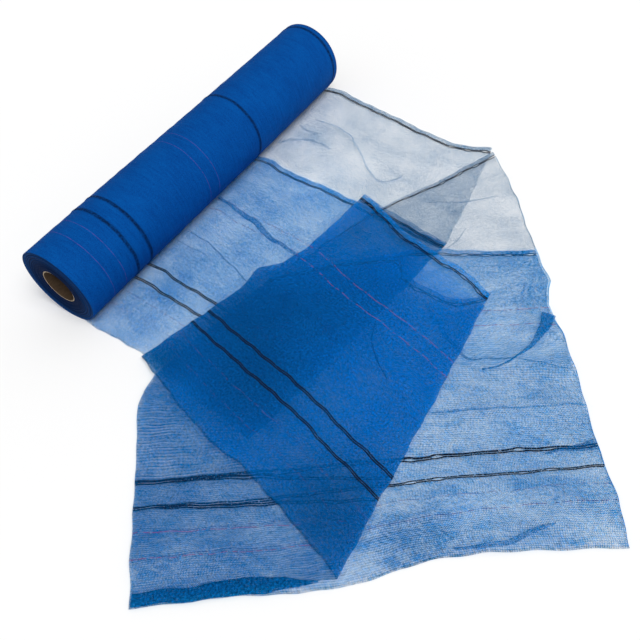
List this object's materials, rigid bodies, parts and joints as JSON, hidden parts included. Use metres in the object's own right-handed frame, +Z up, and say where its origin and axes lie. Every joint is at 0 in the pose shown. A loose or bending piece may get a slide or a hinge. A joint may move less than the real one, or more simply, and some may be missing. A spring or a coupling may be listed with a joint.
{
  "type": "roll of debris netting",
  "caption": "Blue knitted debris netting folded lengthwise and wound on a cardboard core, its loose end drawn off and folded on the floor.",
  "frame": {"origin": "On the floor, under the middle of the bounding box of the roll and its loose end", "axes": "+Z up. The roll lies along X, with the end that shows its core towards -X. The loose end is drawn off towards -Y"},
  "size_m": [1.7712, 1.6248, 0.2436],
  "materials": {
    "cardboard": "matt spiral-wound board",
    "wound_net": "soft sheen of close wraps of knitted plastic yarn",
    "net": "see-through knitted plastic yarn with black eyelet bands",
    "eyelet_band": "near-black knitted plastic yarn round a row of open slots"
  },
  "bodies": {
    "root": {"core": "cardboard", "wound_roll": "wound_net", "loose_end": "net", "back_eyelet_strip": "eyelet_band", "front_eyelet_strip": "eyelet_band"}
  },
  "joints": []
}
